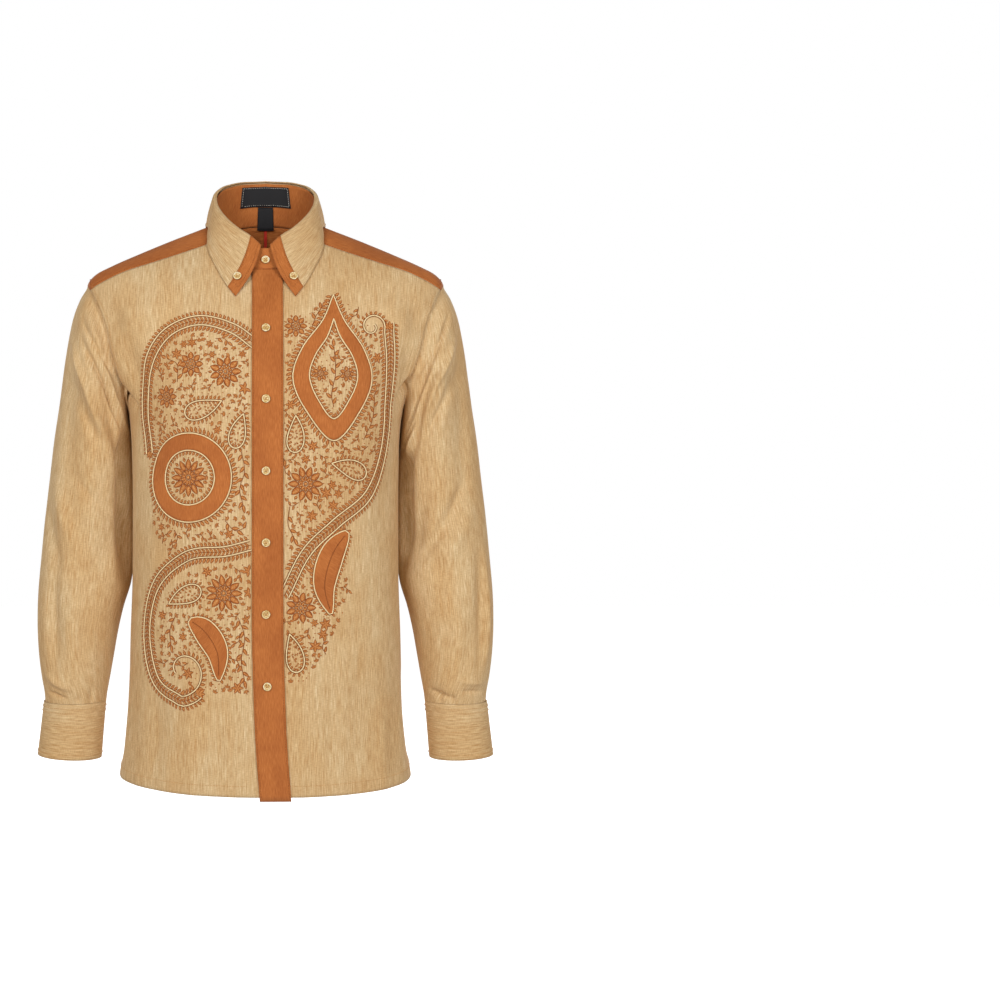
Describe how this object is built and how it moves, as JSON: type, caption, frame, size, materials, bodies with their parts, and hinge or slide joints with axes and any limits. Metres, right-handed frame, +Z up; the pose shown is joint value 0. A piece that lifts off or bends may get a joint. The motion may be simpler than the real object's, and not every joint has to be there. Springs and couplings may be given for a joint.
{
  "type": "linen shirt",
  "caption": "Long-sleeved linen button-down shirt with rust yoke, placket and collar trim, hollow and filled out as worn.",
  "frame": {"origin": "midway between the two points where the shoulders meet the collar, level with them", "axes": "+Z up, the front faces -Y, the wearer's left is +X"},
  "size_m": [0.61, 0.2522, 0.815],
  "materials": {
    "linen": "slubby plain-woven linen, matt",
    "rust_cloth": "fine plain weave, matt",
    "label_tape": "woven tape, slight sheen",
    "horn_button": "polished, horn-coloured"
  },
  "bodies": {
    "root": {"front_right": "linen", "front_left": "linen", "back": "linen", "yoke": "rust_cloth", "sleeve_right": "linen", "sleeve_left": "linen", "cuff_right": "linen", "cuff_left": "linen", "sleeve_placket_right": "linen", "sleeve_placket_left": "linen", "collar_stand": "rust_cloth", "collar_leaf": "linen", "collar_band_right": "rust_cloth", "collar_band_left": "rust_cloth", "front_placket": "rust_cloth", "neck_label": "label_tape", "size_tab": "label_tape", "button_stand": "horn_button", "button_front_1": "horn_button", "button_front_2": "horn_button", "button_front_3": "horn_button", "button_front_4": "horn_button", "button_front_5": "horn_button", "button_front_6": "horn_button", "button_collar_right": "horn_button", "button_collar_left": "horn_button", "button_cuff_right_1": "horn_button", "button_cuff_right_2": "horn_button", "button_sleeve_right": "horn_button", "button_cuff_left_1": "horn_button", "button_cuff_left_2": "horn_button", "button_sleeve_left": "horn_button"}
  },
  "joints": []
}
